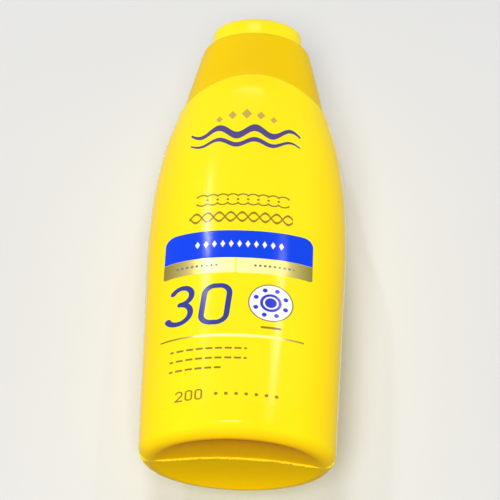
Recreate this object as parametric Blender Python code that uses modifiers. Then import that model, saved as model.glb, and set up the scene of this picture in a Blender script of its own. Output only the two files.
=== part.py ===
"""An oval squeeze bottle for sun lotion, with a push-on flip-top closure.

Metres, +Z up. The origin is the middle of the base, and the front faces -Y.
"""

import math

import bmesh
import bpy
import numpy as np

# Bottle body: a blown oval shell, widest a little below its middle
BODY_WIDTH = 0.0632
BODY_DEPTH = 0.0370
WIDEST_HEIGHT = 0.0800
BASE_WIDTH = 0.0588
BASE_DEPTH = 0.0322
BODY_WALL = 0.0011
BODY_SQUARENESS = 2.2
BASE_SQUARENESS = 2.0
SQUARENESS_HEIGHT = 0.0400

# Height and size shares of the swell from the base up to the widest place
LOWER_SWELL_SHARES = ((0.38, 0.38), (0.69, 0.69))
# Height and size shares of the taper from the widest place up to the shoulder
UPPER_TAPER_SHARES = ((0.37, 0.09), (0.55, 0.245), (0.735, 0.47))

# Base: rounded lower edge, narrow standing ring and raised middle, which is steep near the ring
BASE_FILLET_HEIGHT = 0.0048
BASE_FILLET_INSET = 0.0038
STANDING_RING = 0.0008
PUSH_UP = 0.0024
PUSH_UP_POWER = 4
PUSH_UP_SHARES = (0.35, 0.6, 0.78, 0.9, 1.0)
SEAM_WIDTH = 0.0009
SEAM_HEIGHT = 0.0005
SEAM_SHARE = 0.92
SEAM_FADE_SHARE = 0.90

# Shoulder: its edge is saddle shaped, higher at the front and back than at the sides
SHOULDER_HEIGHT = 0.1345
SHOULDER_RISE = 0.0095
SHOULDER_RADIUS = 0.0014
SHOULDER_STEP = 0.0010
SHOULDER_LEDGE = 0.0025
SADDLE_START_SHARE = 0.67
SADDLE_HALF_SHARE = 0.5

# Neck: plain, round, with one snap bead, standing on the dome of the shoulder
NECK_RADIUS = 0.0090
DOME_RISE = 0.0133
NECK_LENGTH = 0.0094
NECK_ROUND = 0.0004
SNAP_BEAD = 0.0006
SNAP_BEAD_WIDTH = 0.0018
SNAP_BEAD_DROP = 0.0034

# Closure: its skirt goes on with the taper of the bottle up to a flat deck
CLOSURE_HEIGHT = 0.0335
CLOSURE_FOOT_WIDTH = 0.0484
CLOSURE_FOOT_DEPTH = 0.0332
CLOSURE_TOP_WIDTH = 0.0357
CLOSURE_TOP_DEPTH = 0.0226
CLOSURE_WALL = 0.0012
CLOSURE_ROUND = 0.0020
HINGE_SLOPE_HEIGHT = 0.0180
HINGE_SLOPE_SHARES = (0.70, 0.97)

# Nozzle: neck skirt, plug seal and funnel, with the spout's tube on it, rising through the deck
NECK_SKIRT_WALL = 0.0010
NECK_SKIRT_LIFT = 0.0013
SEAL_WALL = 0.0008
SEAL_DEPTH = 0.0036
SEAT_THICKNESS = 0.0012
FUNNEL_SHARE = 0.59
ORIFICE_RADIUS = 0.0031
SPOUT_RADIUS = 0.0047
SPOUT_HEIGHT = 0.0022
SPOUT_ROUND = 0.0004

# Rim on the deck that the lid closes round
RIM_HEIGHT = 0.0011
RIM_WALL = 0.0008
RIM_CLEARANCE = 0.0005
RIM_ROOT = 0.0006

# Lid: a shallow oval cap with a hollow plug, hinged at the back
LID_HEIGHT = 0.0100
LID_SIDE_INSET = 0.00235
LID_SQUARENESS = 1.95
LID_WALL = 0.0011
LID_LEAN = 0.0004
LID_ROUND = 0.0030
LID_CROWN = 0.0004
CROWN_SHARES = (0.66, 0.33)
PLUG_CLEARANCE = 0.0004
PLUG_WALL = 0.0008
PLUG_DEPTH = 0.0010
PLUG_ROUND = 0.0003
PLUG_ROOT = 0.0004

# Film hinge: a short web along the hinge line, in a round groove
HINGE_LENGTH = 0.0090
HINGE_RADIUS = 0.0004
HINGE_GROOVE_RADIUS = 0.0007
HINGE_END_CLEARANCE = 0.0003
HINGE_INSET = 0.0001

# Labels: thin films that follow the bottle's front and back
LABEL_GAP = 0.00015
LABEL_THICKNESS = 0.00015
LABEL_SHARE = 0.775
LABEL_BOTTOM = 0.0112
LABEL_MARGIN = 0.0090
LABEL_TOP_DROP = 0.0080
LABEL_CORNER = 0.0045
FRONT_LABEL_SHIFT = -0.0022
BACK_LABEL_SHIFT = 0.0

# Gap left between pieces that touch
FIT_GAP = 0.0003
MERGE_DISTANCE = 0.000001

# Counts
SIDES = 48
FILLET_STEPS = 4
SIDE_STEPS = 8
SADDLE_STEPS = 5
SHOULDER_STEPS = 4
BLEND_STEPS = 3
DECK_ROUND_STEPS = 4
HINGE_SLOPE_STEPS = 3
LID_ROUND_STEPS = 6
TURNED_SIDES = 40
HINGE_SIDES = 16
LABEL_COLUMNS = 16
LABEL_ROWS = 13
CORNER_STEPS = 4
SEAM_STEPS = 14

# Colours, and finishes as roughness and clear coat
YELLOW_BODY = (0.98, 0.78, 0.010, 1.0)
YELLOW_CLOSURE = (0.95, 0.68, 0.008, 1.0)
BOTTLE_FINISH = (0.22, 0.5)
LID_FINISH = (0.25, 0.3)
CLOSURE_FINISH = (0.38, 0.0)
LABEL_FINISH = (0.18, 0.6)

# Sizes worked out from the ones above
SADDLE_START_HEIGHT = SHOULDER_HEIGHT * SADDLE_START_SHARE
NECK_ROOT_HEIGHT = SHOULDER_HEIGHT + DOME_RISE
NECK_TOP_HEIGHT = NECK_ROOT_HEIGHT + NECK_LENGTH
DECK_HEIGHT = SHOULDER_HEIGHT + CLOSURE_HEIGHT
LID_FOOT_HEIGHT = DECK_HEIGHT + FIT_GAP
LID_TOP_HEIGHT = LID_FOOT_HEIGHT + LID_HEIGHT
LABEL_TOP = SHOULDER_HEIGHT + SHOULDER_RISE - LABEL_MARGIN
LID_HALF_WIDTH = CLOSURE_TOP_WIDTH / 2 - LID_SIDE_INSET
LID_HALF_DEPTH = CLOSURE_TOP_DEPTH / 2 - CLOSURE_ROUND
HINGE_Y = LID_HALF_DEPTH - HINGE_INSET
HINGE_Z = DECK_HEIGHT + FIT_GAP / 2
SPOUT_TOP = DECK_HEIGHT + SPOUT_HEIGHT
SEAT_TOP = NECK_TOP_HEIGHT + FIT_GAP + SEAT_THICKNESS
FUNNEL_TOP = SEAT_TOP + (DECK_HEIGHT - SEAT_TOP) * FUNNEL_SHARE
NECK_BORE = NECK_RADIUS - BODY_WALL


def smooth_curve(points):
    """A smooth curve through (height, size) points that never overshoots them."""
    heights, sizes = np.array(points).T
    steps = np.diff(heights)
    slopes = np.diff(sizes) / steps
    tangents = np.concatenate(([slopes[0]], np.zeros(len(slopes) - 1), [slopes[-1]]))
    for k in range(1, len(slopes)):
        if slopes[k - 1] * slopes[k] > 0:
            tangents[k] = 2 * slopes[k - 1] * slopes[k] / (slopes[k - 1] + slopes[k])

    def size_at(height):
        k = int(np.clip(np.searchsorted(heights, height) - 1, 0, len(slopes) - 1))
        t = (height - heights[k]) / steps[k]
        start = (1 + 2 * t) * (1 - t) ** 2 * sizes[k] + t * (1 - t) ** 2 * steps[k] * tangents[k]
        end = t * t * (3 - 2 * t) * sizes[k + 1] + t * t * (t - 1) * steps[k] * tangents[k + 1]
        return float(start + end)

    return size_at


def closure_half(foot, top, height):
    """Half the closure's width or depth at a height: a straight taper."""
    share = (height - SHOULDER_HEIGHT) / (DECK_HEIGHT - SHOULDER_HEIGHT)
    return (foot + (top - foot) * share) / 2


def closure_half_width(height):
    return closure_half(CLOSURE_FOOT_WIDTH, CLOSURE_TOP_WIDTH, height)


def closure_half_depth(height):
    return closure_half(CLOSURE_FOOT_DEPTH, CLOSURE_TOP_DEPTH, height)


def body_profile(base, widest, closure_half_size):
    """Points of half the body's width or depth, from the base up to the shoulder's edge."""
    shoulder = closure_half_size(SHOULDER_HEIGHT) + SHOULDER_STEP
    edge_height = SHOULDER_HEIGHT + SHOULDER_RISE
    points = [(0, base / 2)]
    for height_share, size_share in LOWER_SWELL_SHARES:
        points.append((WIDEST_HEIGHT * height_share, (base + (widest - base) * size_share) / 2))
    points.append((WIDEST_HEIGHT, widest / 2))
    for height_share, size_share in UPPER_TAPER_SHARES:
        height = WIDEST_HEIGHT + (SHOULDER_HEIGHT - WIDEST_HEIGHT) * height_share
        points.append((height, widest / 2 + (shoulder - widest / 2) * size_share))
    points.append((SHOULDER_HEIGHT, shoulder))
    points.append((edge_height, closure_half_size(edge_height) + SHOULDER_STEP))
    return smooth_curve(points)


body_half_width = body_profile(BASE_WIDTH, BODY_WIDTH, closure_half_width)
body_half_depth = body_profile(BASE_DEPTH, BODY_DEPTH, closure_half_depth)


def squareness(height):
    """Exponent of the oval section: nearly an ellipse at the base, fuller above."""
    share = min(height / SQUARENESS_HEIGHT, 1)
    return BASE_SQUARENESS + (BODY_SQUARENESS - BASE_SQUARENESS) * share


def oval(half_width, half_depth, exponent, angle):
    """A point on the oval, at an angle from +X."""
    across, along = math.cos(angle), math.sin(angle)
    x = half_width * math.copysign(abs(across) ** (2 / exponent), across)
    y = half_depth * math.copysign(abs(along) ** (2 / exponent), along)
    return x, y


def saddle(angle):
    """How far the shoulder's edge stands above its height at the sides."""
    across = abs(math.cos(angle)) ** (2 / BODY_SQUARENESS)
    return SHOULDER_RISE * math.cos(math.pi / 2 * across)


def ease(share):
    """A smooth step from 0 to 1."""
    share = min(max(share, 0), 1)
    return share * share * (3 - 2 * share)


def angles(count=SIDES):
    return [2 * math.pi * k / count for k in range(count)]


def ring(place, count=SIDES):
    """One ring of points; place gives x, y and z for an angle."""
    return [place(angle) for angle in angles(count)]


def oval_ring(half_width, half_depth, height, exponent=BODY_SQUARENESS):
    return ring(lambda angle: (*oval(half_width, half_depth, exponent, angle), height))


def circle_ring(radius, height):
    return ring(lambda angle: (radius * math.cos(angle), radius * math.sin(angle), height))


def lid_ring(inset, height):
    return oval_ring(LID_HALF_WIDTH - inset, LID_HALF_DEPTH - inset, height, LID_SQUARENESS)


def new_object(name, mesh_data, collection):
    made = bpy.data.objects.new(name, mesh_data)
    collection.objects.link(made)
    return made


def loft(name, rings, collection, start_cap=None, end_cap=None, wrap=False):
    """Quads between rings of points. A cap is a point that closes an end with a fan."""
    work = bmesh.new()
    rows = [[work.verts.new(point) for point in points] for points in rings]
    pairs = list(zip(rows, rows[1:]))
    if wrap:
        pairs.append((rows[-1], rows[0]))
    for lower, upper in pairs:
        for k, corner in enumerate(lower):
            following = (k + 1) % len(lower)
            work.faces.new((corner, lower[following], upper[following], upper[k]))
    if start_cap:
        middle = work.verts.new(start_cap)
        for k, corner in enumerate(rows[0]):
            work.faces.new((middle, rows[0][(k + 1) % len(rows[0])], corner))
    if end_cap:
        middle = work.verts.new(end_cap)
        for k, corner in enumerate(rows[-1]):
            work.faces.new((middle, corner, rows[-1][(k + 1) % len(rows[-1])]))
    data = bpy.data.meshes.new(name)
    work.to_mesh(data)
    work.free()
    return new_object(name, data, collection)


def turned(name, profile, collection):
    """A closed (radius, height) profile, turned about Z."""
    data = bpy.data.meshes.new(name)
    points = [(radius, 0, height) for radius, height in profile]
    data.from_pydata(points, [(k, (k + 1) % len(points)) for k in range(len(points))], [])
    made = new_object(name, data, collection)
    screw = made.modifiers.new("Turn", "SCREW")
    screw.steps = TURNED_SIDES
    screw.render_steps = TURNED_SIDES
    screw.use_merge_vertices = True
    screw.merge_threshold = MERGE_DISTANCE
    return made


def thicken(made, wall):
    """Give an open surface a wall on its inner side."""
    shell = made.modifiers.new("Wall", "SOLIDIFY")
    shell.thickness = wall
    shell.offset = -1
    shell.use_even_offset = True


def combine(made, other, operation):
    """Join or cut with another object, which the build then leaves out."""
    step = made.modifiers.new(operation.title(), "BOOLEAN")
    step.operation = operation
    step.object = other
    step.solver = "EXACT"
    other.hide_render = True
    other.display_type = "WIRE"


def plastic(made, name, colour, finish):
    roughness, coat = finish
    material = bpy.data.materials.new(name)
    material.use_nodes = True
    shader = material.node_tree.nodes["Principled BSDF"]
    shader.inputs["Base Color"].default_value = colour
    shader.inputs["Roughness"].default_value = roughness
    shader.inputs["Metallic"].default_value = 0.0
    shader.inputs["Coat Weight"].default_value = coat
    made.data.materials.append(material)


def base_rings():
    """The underside: the raised middle, the flat standing ring and the rounded edge."""
    edge_x = body_half_width(BASE_FILLET_HEIGHT)
    edge_y = body_half_depth(BASE_FILLET_HEIGHT)
    ring_inner_x = edge_x - BASE_FILLET_INSET - STANDING_RING
    ring_inner_y = edge_y - BASE_FILLET_INSET - STANDING_RING
    exponent = BASE_SQUARENESS
    rings = []
    for share in PUSH_UP_SHARES:
        height = push_up_height(share)
        rings.append(oval_ring(ring_inner_x * share, ring_inner_y * share, height, exponent))
    for step in range(FILLET_STEPS):
        turn = math.pi / 2 * step / FILLET_STEPS
        inset = BASE_FILLET_INSET * (1 - math.sin(turn))
        height = BASE_FILLET_HEIGHT * (1 - math.cos(turn))
        rings.append(oval_ring(edge_x - inset, edge_y - inset, height, squareness(height)))
    return rings


def push_up_height(share):
    """Height of the raised middle of the base, at a share of the way out to its edge."""
    return PUSH_UP * (1 - share**PUSH_UP_POWER)


def side_rings():
    """The body's side, whose upper rings bend to follow the saddle of the shoulder."""
    edge_start = SHOULDER_HEIGHT - SHOULDER_RADIUS

    def side_ring(level, lift):
        def place(angle):
            height = level + lift * saddle(angle)
            return (
                *oval(body_half_width(height), body_half_depth(height), squareness(height), angle),
                height,
            )

        return ring(place)

    rings = []
    for step in range(SIDE_STEPS):
        level = BASE_FILLET_HEIGHT + (SADDLE_START_HEIGHT - BASE_FILLET_HEIGHT) * step / SIDE_STEPS
        rings.append(side_ring(level, 0))
    for step in range(SADDLE_STEPS + 1):
        share = step / SADDLE_STEPS
        level = SADDLE_START_HEIGHT + (edge_start - SADDLE_START_HEIGHT) * share
        rings.append(side_ring(level, ease(share)))
    return rings


def shoulder_rings():
    """The rounded edge, the ledge that the closure stands on, and the dome up to the neck."""

    def inset_ring(inset, height):
        def place(angle):
            start = SHOULDER_HEIGHT - SHOULDER_RADIUS + saddle(angle)
            half_width = body_half_width(start) - inset
            half_depth = body_half_depth(start) - inset
            return (*oval(half_width, half_depth, BODY_SQUARENESS, angle), start + height)

        return ring(place)

    rings = []
    for step in range(1, SHOULDER_STEPS + 1):
        turn = math.pi / 2 * step / SHOULDER_STEPS
        inset = SHOULDER_RADIUS * (1 - math.cos(turn))
        rings.append(inset_ring(inset, SHOULDER_RADIUS * math.sin(turn)))
    ledge = inset_ring(SHOULDER_LEDGE, SHOULDER_RADIUS)
    rings.append(ledge)
    root = circle_ring(NECK_RADIUS, NECK_ROOT_HEIGHT)
    for step in range(1, BLEND_STEPS):
        share = step / BLEND_STEPS
        rise = math.sin(math.pi / 2 * share)
        rings.append([
            (
                outer[0] + (inner[0] - outer[0]) * share,
                outer[1] + (inner[1] - outer[1]) * share,
                outer[2] + (inner[2] - outer[2]) * rise,
            )
            for outer, inner in zip(ledge, root)
        ])
    rings.append(root)
    return rings


def neck_rings():
    """The neck with its snap bead, up to the rounded rim of the mouth."""
    bead_middle = NECK_TOP_HEIGHT - SNAP_BEAD_DROP
    outline = (
        (NECK_RADIUS, bead_middle - SNAP_BEAD_WIDTH / 2),
        (NECK_RADIUS + SNAP_BEAD, bead_middle),
        (NECK_RADIUS, bead_middle + SNAP_BEAD_WIDTH / 2),
        (NECK_RADIUS, NECK_TOP_HEIGHT - NECK_ROUND),
        (NECK_RADIUS - NECK_ROUND, NECK_TOP_HEIGHT),
    )
    return [circle_ring(radius, height) for radius, height in outline]


def pinch_seam(cutters):
    """The raised line across the base where the mould closed on the plastic."""
    edge = body_half_width(BASE_FILLET_HEIGHT) - BASE_FILLET_INSET - STANDING_RING
    work = bmesh.new()
    bmesh.ops.create_grid(work, x_segments=SEAM_STEPS, y_segments=1, size=1)
    for corner in work.verts:
        share = corner.co.x * SEAM_SHARE
        corner.co.y *= SEAM_WIDTH / 2
        rise = push_up_height(abs(share))
        corner.co.z = rise - min(SEAM_HEIGHT, rise * SEAM_FADE_SHARE)
        corner.co.x *= edge * SEAM_SHARE
    data = bpy.data.meshes.new("pinch_seam")
    work.to_mesh(data)
    work.free()
    seam = new_object("pinch_seam", data, cutters)
    body = seam.modifiers.new("Height", "SOLIDIFY")
    body.thickness = SEAM_HEIGHT + BODY_WALL / 2
    body.offset = 1
    return seam


def make_bottle(parts, cutters):
    rings = base_rings() + side_rings() + shoulder_rings() + neck_rings()
    bottle = loft("bottle", rings, parts, start_cap=(0, 0, PUSH_UP))
    thicken(bottle, BODY_WALL)
    combine(bottle, pinch_seam(cutters), "UNION")
    plastic(bottle, "glossy_yellow_bottle", YELLOW_BODY, BOTTLE_FINISH)
    return bottle


def closure_ring(level, lift):
    """A ring of the closure's side. Its top is rounded, and sloped back behind the hinge."""

    def place(angle):
        height = level + lift * saddle(angle)
        rise = max(height - (DECK_HEIGHT - CLOSURE_ROUND), 0)
        rounded = CLOSURE_ROUND - math.sqrt(max(CLOSURE_ROUND**2 - rise**2, 0))
        sloped = max(height - (DECK_HEIGHT - HINGE_SLOPE_HEIGHT), 0) / HINGE_SLOPE_HEIGHT
        sloped = CLOSURE_ROUND * sloped**2
        low, high = HINGE_SLOPE_SHARES
        back = ease((math.sin(angle) - low) / (high - low))
        inset = rounded + (sloped - rounded) * back
        half_width = closure_half_width(height) - inset
        half_depth = closure_half_depth(height) - inset
        return (*oval(half_width, half_depth, BODY_SQUARENESS, angle), height)

    return ring(place)


def make_closure_shell(parts):
    """Skirt and deck, open below and round the spout."""
    foot = SHOULDER_HEIGHT + FIT_GAP
    round_start = DECK_HEIGHT - CLOSURE_ROUND
    slope_start = DECK_HEIGHT - HINGE_SLOPE_HEIGHT
    low_rows = [closure_ring(foot, 1), closure_ring((foot + slope_start) / 2, SADDLE_HALF_SHARE)]
    rings = low_rows + [closure_ring(slope_start, 0)]
    for step in range(1, HINGE_SLOPE_STEPS):
        share = step / HINGE_SLOPE_STEPS
        rings.append(closure_ring(slope_start + (round_start - slope_start) * share, 0))
    for step in range(DECK_ROUND_STEPS + 1):
        turn = math.pi / 2 * step / DECK_ROUND_STEPS
        rings.append(closure_ring(round_start + CLOSURE_ROUND * math.sin(turn), 0))
    hole = SPOUT_RADIUS + FIT_GAP
    rings.append(lid_ring((LID_HALF_DEPTH - hole) / 2, DECK_HEIGHT))
    rings.append(circle_ring(hole, DECK_HEIGHT))
    shell = loft("closure_base", rings, parts)
    thicken(shell, CLOSURE_WALL)
    return shell


def nozzle_profile():
    """Neck skirt, seat, plug seal and funnel, from the top of the funnel down."""
    skirt_inner = NECK_RADIUS + SNAP_BEAD + FIT_GAP
    skirt_outer = skirt_inner + NECK_SKIRT_WALL
    skirt_foot = NECK_ROOT_HEIGHT + NECK_SKIRT_LIFT
    seat = NECK_TOP_HEIGHT + FIT_GAP
    seal_outer = NECK_BORE - FIT_GAP
    seal_inner = seal_outer - SEAL_WALL
    seal_foot = seat - SEAL_DEPTH
    catch_top = NECK_TOP_HEIGHT - SNAP_BEAD_DROP - SNAP_BEAD_WIDTH / 2 - FIT_GAP
    catch = NECK_RADIUS + FIT_GAP
    return [
        (ORIFICE_RADIUS, FUNNEL_TOP),
        (SPOUT_RADIUS, FUNNEL_TOP),
        (seal_outer + SPOUT_ROUND, SEAT_TOP),
        (skirt_outer, SEAT_TOP - SPOUT_ROUND),
        (skirt_outer, skirt_foot),
        (skirt_inner, skirt_foot),
        (skirt_inner, catch_top - SNAP_BEAD_WIDTH),
        (catch, catch_top - SNAP_BEAD_WIDTH / 2),
        (skirt_inner, catch_top),
        (skirt_inner, seat),
        (seal_outer, seat),
        (seal_outer, seal_foot + SPOUT_ROUND),
        (seal_outer - SPOUT_ROUND, seal_foot),
        (seal_inner, seal_foot),
        (seal_inner, SEAT_TOP - SEAT_THICKNESS / 2),
        (ORIFICE_RADIUS, FUNNEL_TOP - SEAT_THICKNESS / 2),
    ]


def tube_profile():
    """The spout's tube, from its rounded top down to the funnel."""
    foot = FUNNEL_TOP + FIT_GAP
    return [
        (ORIFICE_RADIUS + SPOUT_ROUND, SPOUT_TOP),
        (SPOUT_RADIUS - SPOUT_ROUND, SPOUT_TOP),
        (SPOUT_RADIUS, SPOUT_TOP - SPOUT_ROUND),
        (SPOUT_RADIUS, foot),
        (ORIFICE_RADIUS, foot),
        (ORIFICE_RADIUS, SPOUT_TOP - SPOUT_ROUND),
    ]


def make_nozzle(parts):
    nozzle = turned("spout_nozzle", nozzle_profile(), parts)
    plastic(nozzle, "satin_yellow_nozzle", YELLOW_CLOSURE, CLOSURE_FINISH)
    return nozzle


def make_tube(parts):
    tube = turned("spout_tube", tube_profile(), parts)
    plastic(tube, "satin_yellow_spout", YELLOW_CLOSURE, CLOSURE_FINISH)
    return tube


def make_deck_rim(cutters):
    """The low oval rim on the deck that the lid closes round."""
    low, high = DECK_HEIGHT - RIM_ROOT, DECK_HEIGHT + RIM_HEIGHT
    outer = LID_WALL + RIM_CLEARANCE
    inner = outer + RIM_WALL
    rings = [lid_ring(outer, low), lid_ring(outer, high), lid_ring(inner, high), lid_ring(inner, low)]
    return loft("deck_rim", rings, cutters, wrap=True)


def make_hinge_groove(cutters):
    """The round groove along the hinge line, in the lid and in the closure."""
    bpy.ops.mesh.primitive_cylinder_add(
        vertices=HINGE_SIDES,
        radius=HINGE_GROOVE_RADIUS,
        depth=HINGE_LENGTH + 2 * HINGE_END_CLEARANCE,
        location=(0, HINGE_Y, HINGE_Z),
        rotation=(0, math.pi / 2, 0),
    )
    groove = bpy.context.object
    groove.name = "hinge_groove"
    for collection in groove.users_collection:
        collection.objects.unlink(groove)
    cutters.objects.link(groove)
    return groove


def make_closure(parts, cutters, groove):
    closure = make_closure_shell(parts)
    combine(closure, make_deck_rim(cutters), "UNION")
    combine(closure, groove, "DIFFERENCE")
    plastic(closure, "satin_yellow_closure", YELLOW_CLOSURE, CLOSURE_FINISH)
    return closure


def make_lid_shell(parts):
    """The lid's outer skin, from its foot up over the rounded edge to a slight crown."""
    crown_foot = LID_TOP_HEIGHT - LID_CROWN
    round_start = crown_foot - LID_ROUND
    rings = [lid_ring(0, LID_FOOT_HEIGHT), lid_ring(LID_LEAN, round_start)]
    for step in range(1, LID_ROUND_STEPS + 1):
        turn = math.pi / 2 * step / LID_ROUND_STEPS
        inset = LID_LEAN + LID_ROUND * (1 - math.cos(turn))
        rings.append(lid_ring(inset, round_start + LID_ROUND * math.sin(turn)))
    flat_x = LID_HALF_WIDTH - LID_LEAN - LID_ROUND
    flat_y = LID_HALF_DEPTH - LID_LEAN - LID_ROUND
    for share in CROWN_SHARES:
        height = LID_TOP_HEIGHT - LID_CROWN * share**2
        rings.append(oval_ring(flat_x * share, flat_y * share, height, LID_SQUARENESS))
    lid = loft("flip_lid", rings, parts, end_cap=(0, 0, LID_TOP_HEIGHT))
    thicken(lid, LID_WALL)
    return lid


def make_plug(cutters):
    """The hollow plug under the lid that closes the spout."""
    outer = ORIFICE_RADIUS - PLUG_CLEARANCE
    inner = outer - PLUG_WALL
    tip = SPOUT_TOP - PLUG_DEPTH
    root = LID_TOP_HEIGHT - LID_CROWN - LID_WALL + PLUG_ROOT
    return turned(
        "plug",
        [
            (outer, root),
            (outer, tip + PLUG_ROUND),
            (outer - PLUG_ROUND, tip),
            (inner, tip),
            (inner, root),
        ],
        cutters,
    )


def make_lid(parts, cutters, groove):
    lid = make_lid_shell(parts)
    combine(lid, make_plug(cutters), "UNION")
    combine(lid, groove, "DIFFERENCE")
    plastic(lid, "glossy_yellow_lid", YELLOW_BODY, LID_FINISH)
    return lid


def make_hinge_film(parts):
    bpy.ops.mesh.primitive_cylinder_add(
        vertices=HINGE_SIDES,
        radius=HINGE_RADIUS,
        depth=HINGE_LENGTH,
        location=(0, HINGE_Y, HINGE_Z),
        rotation=(0, math.pi / 2, 0),
    )
    film = bpy.context.object
    film.name = "hinge_film"
    for collection in film.users_collection:
        collection.objects.unlink(film)
    parts.objects.link(film)
    plastic(film, "yellow_hinge_film", YELLOW_CLOSURE, CLOSURE_FINISH)
    return film


def label_rows():
    """Height and width shares of the label's rows, closer together round its corners."""
    height = LABEL_TOP - LABEL_BOTTOM
    half_width = BODY_WIDTH / 2 * LABEL_SHARE
    rows = []
    for step in range(CORNER_STEPS):
        turn = math.pi / 2 * step / CORNER_STEPS
        inset = LABEL_CORNER * (1 - math.sin(turn))
        rows.append((LABEL_CORNER * (1 - math.cos(turn)) / height, 1 - inset / half_width))
    corner = LABEL_CORNER / height
    for step in range(LABEL_ROWS + 1):
        rows.append((corner + (1 - 2 * corner) * step / LABEL_ROWS, 1))
    rows.extend((1 - share, width) for share, width in reversed(rows[:CORNER_STEPS]))
    return rows


def make_label(name, side, shift, parts):
    """A film on the front (side -1) or the back (side 1) of the bottle."""
    rows = label_rows()
    work = bmesh.new()
    bmesh.ops.create_grid(work, x_segments=LABEL_COLUMNS, y_segments=len(rows) - 1, size=1)
    for corner in work.verts:
        row = round((corner.co.y + 1) / 2 * (len(rows) - 1))
        height_share, width_share = rows[row]
        across = corner.co.x * width_share
        top = LABEL_TOP - LABEL_TOP_DROP * (1 - math.cos(math.pi / 2 * across))
        height = LABEL_BOTTOM + (top - LABEL_BOTTOM) * height_share
        half_width = body_half_width(height)
        x = across * half_width * LABEL_SHARE + shift
        exponent = squareness(height)
        share = abs(x) / (half_width + LABEL_GAP)
        depth = (body_half_depth(height) + LABEL_GAP) * (1 - share**exponent) ** (1 / exponent)
        corner.co = (x, side * depth, height)
    if side > 0:
        bmesh.ops.reverse_faces(work, faces=work.faces)
    data = bpy.data.meshes.new(name)
    work.to_mesh(data)
    work.free()
    label = new_object(name, data, parts)
    film = label.modifiers.new("Film", "SOLIDIFY")
    film.thickness = LABEL_THICKNESS
    film.offset = 1
    plastic(label, name + "_film", YELLOW_BODY, LABEL_FINISH)
    return label


def make_all():
    for old in list(bpy.data.objects):
        bpy.data.objects.remove(old, do_unlink=True)
    parts = bpy.data.collections.new("sunscreen_bottle")
    cutters = bpy.data.collections.new("cutters")
    bpy.context.scene.collection.children.link(parts)
    bpy.context.scene.collection.children.link(cutters)
    groove = make_hinge_groove(cutters)
    made = [
        make_bottle(parts, cutters),
        make_closure(parts, cutters, groove),
        make_nozzle(parts),
        make_tube(parts),
        make_label("front_label", -1, FRONT_LABEL_SHIFT, parts),
        make_label("back_label", 1, BACK_LABEL_SHIFT, parts),
        make_hinge_film(parts),
    ]
    lid = make_lid(parts, cutters, groove)
    hinge = bpy.data.objects.new("lid_hinge", None)
    hinge.location = (0, HINGE_Y, HINGE_Z)
    hinge.empty_display_size = HINGE_LENGTH
    parts.objects.link(hinge)
    lid.parent = hinge
    lid.location = (0, -HINGE_Y, -HINGE_Z)
    for piece in made + [lid]:
        piece.data.shade_smooth()


make_all()
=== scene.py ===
import math

import bmesh
import bpy
import numpy as np
from mathutils import Matrix, Quaternion, Vector


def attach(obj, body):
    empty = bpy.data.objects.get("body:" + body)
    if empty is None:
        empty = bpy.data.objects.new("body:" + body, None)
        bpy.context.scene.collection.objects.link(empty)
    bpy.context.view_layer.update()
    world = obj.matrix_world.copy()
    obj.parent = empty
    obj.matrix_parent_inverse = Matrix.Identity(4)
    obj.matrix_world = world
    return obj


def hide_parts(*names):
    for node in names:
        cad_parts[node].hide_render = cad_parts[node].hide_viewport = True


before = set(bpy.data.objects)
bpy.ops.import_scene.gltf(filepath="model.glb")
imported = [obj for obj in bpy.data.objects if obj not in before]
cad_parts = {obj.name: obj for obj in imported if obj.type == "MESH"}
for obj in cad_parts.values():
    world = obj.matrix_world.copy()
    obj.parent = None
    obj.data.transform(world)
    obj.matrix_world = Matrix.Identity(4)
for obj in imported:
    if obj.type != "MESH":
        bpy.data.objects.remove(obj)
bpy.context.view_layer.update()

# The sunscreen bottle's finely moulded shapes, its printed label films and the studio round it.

# Sizes in metres. Most are the solids' own, and the rest are the finer forms made here.
BODY_WIDTH = 0.0632
BODY_DEPTH = 0.0370
WIDEST_HEIGHT = 0.0800
BASE_WIDTH = 0.0588
BASE_DEPTH = 0.0322
BODY_WALL = 0.0011
BODY_SQUARENESS = 2.2
BASE_SQUARENESS = 2.0
SQUARENESS_HEIGHT = 0.0400
LOWER_SWELL_SHARES = ((0.38, 0.38), (0.69, 0.69))
UPPER_TAPER_SHARES = ((0.37, 0.09), (0.55, 0.245), (0.735, 0.47))
BASE_FILLET_HEIGHT = 0.0052
BASE_FILLET_INSET = 0.0038
BASE_FILLET_DEPTH_INSET = 0.0026
FRONT_CORNER_TIGHTNESS = 0.3
STANDING_RING = 0.0008
STANDING_RING_FRONT = 0.0003
PUSH_UP = 0.0024
PUSH_UP_POWER = 4
SEAM_HEIGHT = 0.0006
SEAM_HALF_WIDTH = 0.00030
SEAM_END_INSET = 0.0006
SEAM_ROOT = 0.0002
SEAM_SKIN = 0.00005
SEAM_SWAY = 0.00012
SHOULDER_HEIGHT = 0.1345
SHOULDER_RISE = 0.0095
SHOULDER_RADIUS = 0.0014
SHOULDER_STEP = 0.0010
SHOULDER_LEDGE = 0.0025
SADDLE_START_HEIGHT = SHOULDER_HEIGHT * 0.67
NECK_RADIUS = 0.0090
NECK_ROOT_HEIGHT = SHOULDER_HEIGHT + 0.0133
NECK_TOP_HEIGHT = NECK_ROOT_HEIGHT + 0.0094
NECK_BEAD_HEIGHT = NECK_TOP_HEIGHT - 0.0034
CLOSURE_FOOT_WIDTH = 0.0484
CLOSURE_FOOT_DEPTH = 0.0332
CLOSURE_TOP_WIDTH = 0.0357
CLOSURE_TOP_DEPTH = 0.0226
CLOSURE_WALL = 0.0012
CLOSURE_ROUND = 0.0020
CLOSURE_EDGE = 0.00025
DECK_HEIGHT = SHOULDER_HEIGHT + 0.0335
HINGE_SLOPE_HEIGHT = 0.0180
HINGE_SLOPE_START = 0.70
HINGE_SLOPE_END = 0.97
RIM_HEIGHT = 0.0011
RIM_THICKNESS = 0.0008
SPOUT_RADIUS = 0.0047
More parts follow.
